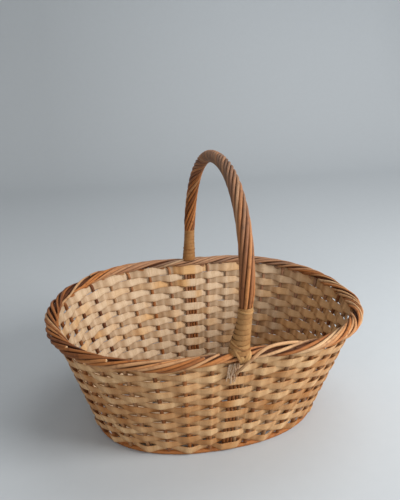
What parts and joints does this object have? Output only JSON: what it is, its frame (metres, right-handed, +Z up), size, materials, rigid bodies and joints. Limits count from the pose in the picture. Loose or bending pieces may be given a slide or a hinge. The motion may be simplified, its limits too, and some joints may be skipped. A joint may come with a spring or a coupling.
{
  "type": "foraging basket",
  "caption": "Oval basket of split willow woven round upright stakes, with a rolled border and a fixed roped bow handle, for carrying picked mushrooms.",
  "frame": {"origin": "middle of the flat underside of the foot rod, under the middle of the basket's outline", "axes": "+X along the basket's length, +Y across it towards the leg of the handle that stands farther from the picture's camera, +Z up"},
  "size_m": [0.3996, 0.3161, 0.3434],
  "materials": {
    "split_willow": "pale split willow, dry and slightly fibrous",
    "willow_rod": "brown willow bark, satin",
    "willow_skein": "flat willow skein, satin"
  },
  "bodies": {
    "root": {"base_sticks": "willow_rod", "base_strip": "split_willow", "binding_back": "willow_skein", "binding_front": "willow_skein", "lashing_front": "willow_skein", "foot_rod": "willow_rod", "handle": "willow_rod", "stake_01": "willow_rod", "stake_02": "willow_rod", "stake_03": "willow_rod", "stake_04": "willow_rod", "stake_05": "willow_rod", "stake_06": "willow_rod", "stake_07": "willow_rod", "stake_08": "willow_rod", "stake_09": "willow_rod", "stake_10": "willow_rod", "stake_11": "willow_rod", "stake_12": "willow_rod", "stake_13": "willow_rod", "stake_14": "willow_rod", "stake_15": "willow_rod", "stake_16": "willow_rod", "stake_17": "willow_rod", "stake_18": "willow_rod", "stake_19": "willow_rod", "stake_20": "willow_rod", "stake_21": "willow_rod", "stake_22": "willow_rod", "stake_23": "willow_rod", "stake_24": "willow_rod", "stake_25": "willow_rod", "stake_26": "willow_rod", "stake_27": "willow_rod", "stake_28": "willow_rod", "stake_29": "willow_rod", "stake_30": "willow_rod", "stake_31": "willow_rod", "stake_32": "willow_rod", "stake_33": "willow_rod", "stake_34": "willow_rod", "stake_35": "willow_rod", "stake_36": "willow_rod", "weaver_01": "split_willow", "weaver_02": "split_willow", "weaver_03": "split_willow", "weaver_04": "split_willow", "weaver_05": "split_willow", "weaver_06": "split_willow", "weaver_07": "split_willow", "weaver_08": "split_willow", "weaver_09": "split_willow", "weaver_10": "split_willow", "weaver_11": "split_willow", "weaver_12": "split_willow", "weaver_13": "split_willow", "weaver_14": "split_willow", "weaver_15": "split_willow", "weaver_16": "split_willow"}
  },
  "joints": []
}
